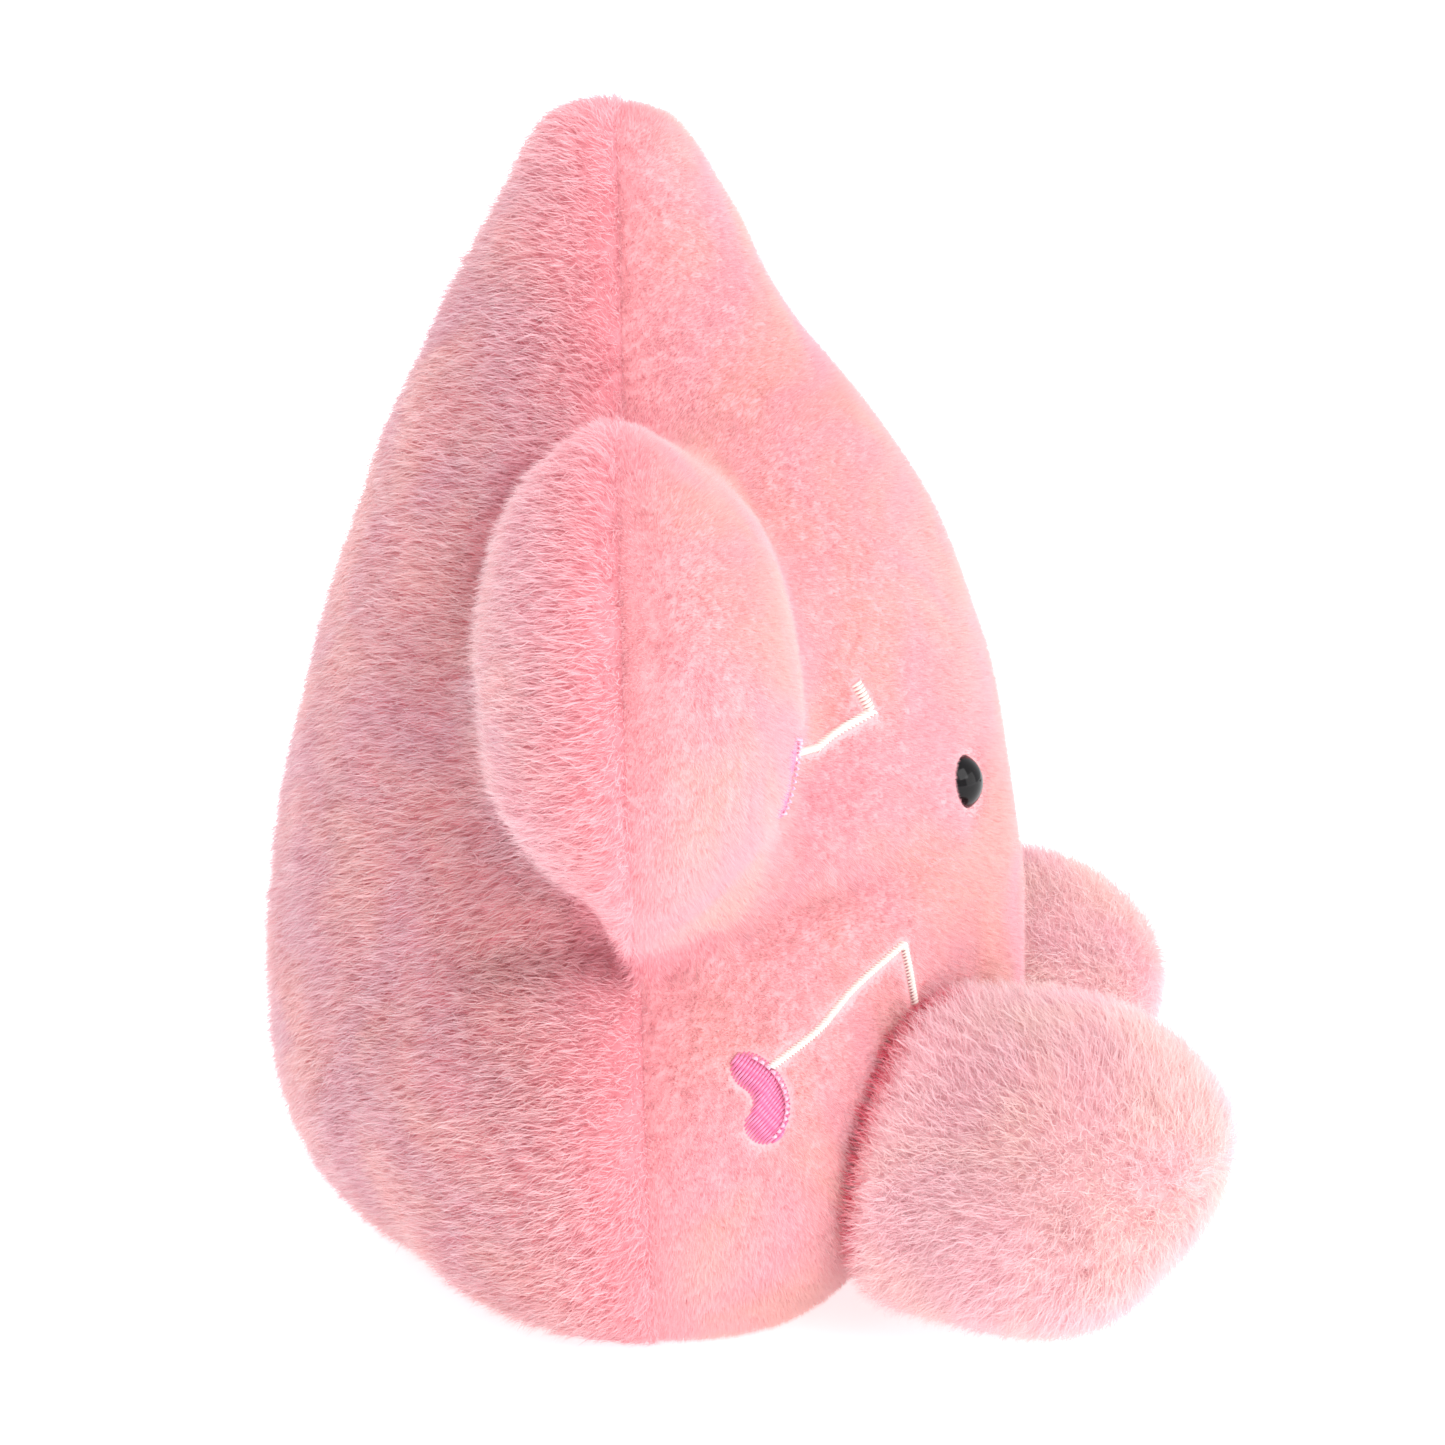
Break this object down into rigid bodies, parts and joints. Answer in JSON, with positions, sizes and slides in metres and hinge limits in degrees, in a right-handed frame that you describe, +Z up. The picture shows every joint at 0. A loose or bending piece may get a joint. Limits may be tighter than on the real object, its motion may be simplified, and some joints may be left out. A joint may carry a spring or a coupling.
{
  "type": "stuffed toy",
  "caption": "Palm-size star-shaped sitting plush with a pointed top arm, short side arms, bead eyes, embroidered front and two furry ball feet.",
  "frame": {"origin": "on the seat plane, under the middle of the whole toy's box", "axes": "+Z up; the toy faces -Y; X runs across it and X = 0 is its mirror plane, with the toy's own right at -X"},
  "size_m": [0.122, 0.102, 0.1249],
  "materials": {
    "short_plush": "matte",
    "long_plush": "matte",
    "fibre_fill": "matte",
    "bag_cloth": "matte",
    "pellet_plastic": "satin",
    "seam_thread": "satin",
    "eye_plastic": "gloss",
    "washer_plastic": "satin",
    "white_thread": "satin",
    "pink_thread": "satin"
  },
  "bodies": {
    "body": {"front_panel": "short_plush", "back_panel": "long_plush", "body_stuffing": "fibre_fill", "pellet_bag": "bag_cloth", "pellets": "pellet_plastic", "panel_seam": "seam_thread", "closing_stitch": "seam_thread", "right_eye": "eye_plastic", "left_eye": "eye_plastic", "right_eye_washer": "washer_plastic", "left_eye_washer": "washer_plastic", "right_arm_line": "white_thread", "left_arm_line": "white_thread", "right_hip_line": "white_thread", "left_hip_line": "white_thread", "right_arm_crescent": "pink_thread", "left_arm_crescent": "pink_thread", "right_hip_crescent": "pink_thread", "left_hip_crescent": "pink_thread", "right_foot_seam": "seam_thread", "left_foot_seam": "seam_thread"},
    "right_foot": {"right_foot_skin": "long_plush", "right_foot_stuffing": "fibre_fill"},
    "left_foot": {"left_foot_skin": "long_plush", "left_foot_stuffing": "fibre_fill"}
  },
  "joints": [
    {"name": "right_foot_tip", "type": "hinge", "parent": "body", "child": "right_foot", "pos_m": [-0.0285, -0.0175, 0.033], "axis": [-1, 0, 0], "range_deg": [0, 18], "stiffness_Nm_per_rad": 0.01},
    {"name": "left_foot_tip", "type": "hinge", "parent": "body", "child": "left_foot", "pos_m": [0.0285, -0.0175, 0.033], "axis": [-1, 0, 0], "range_deg": [0, 18], "stiffness_Nm_per_rad": 0.01}
  ]
}
